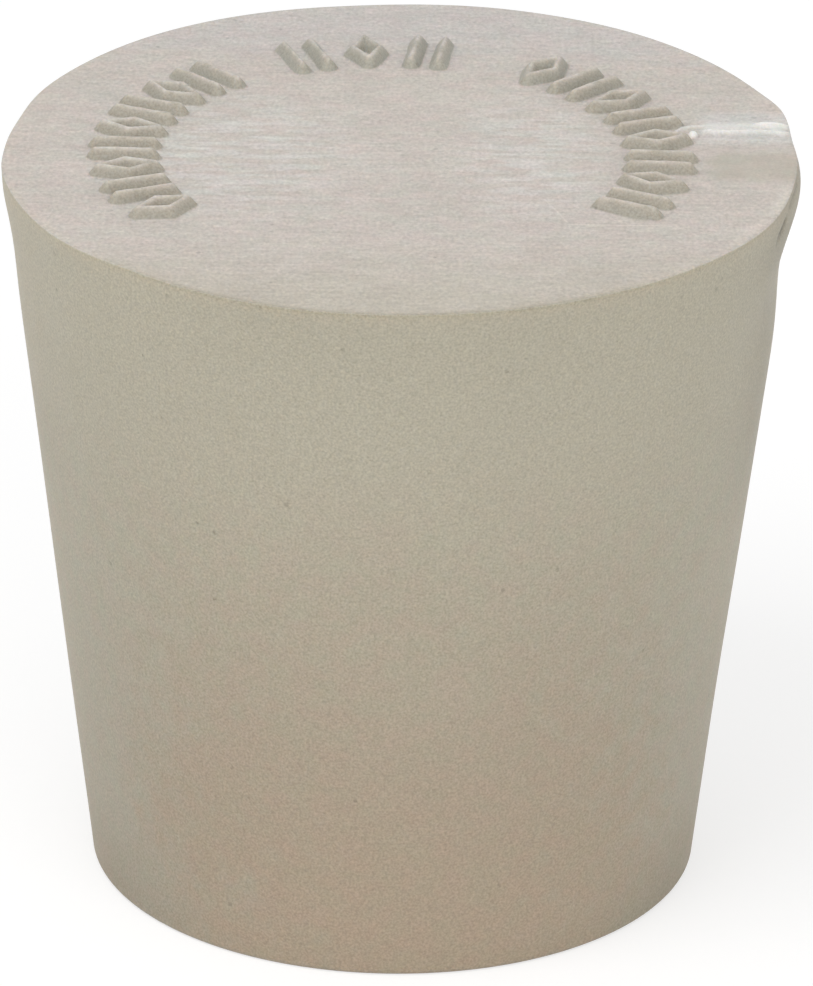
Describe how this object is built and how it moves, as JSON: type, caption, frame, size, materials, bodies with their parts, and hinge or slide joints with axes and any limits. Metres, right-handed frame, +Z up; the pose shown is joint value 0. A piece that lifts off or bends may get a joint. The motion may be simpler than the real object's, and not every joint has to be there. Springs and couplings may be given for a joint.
{
  "type": "rubber stopper",
  "caption": "Solid tapered laboratory stopper in milky translucent silicone rubber, with a flat top face, a ring of low moulded marks and a small moulding fold at the rim.",
  "frame": {"origin": "centre of the narrow end, on the surface that the stopper stands on", "axes": "+Z up along the taper towards the wide top face; +X towards the moulding fold at the rim; -Y towards the gap in the ring of marks"},
  "size_m": [0.045, 0.045, 0.0437],
  "materials": {
    "silicone": "matt milky translucent silicone rubber, with a finely brushed top face"
  },
  "bodies": {
    "root": {"stopper": "silicone"}
  },
  "joints": []
}
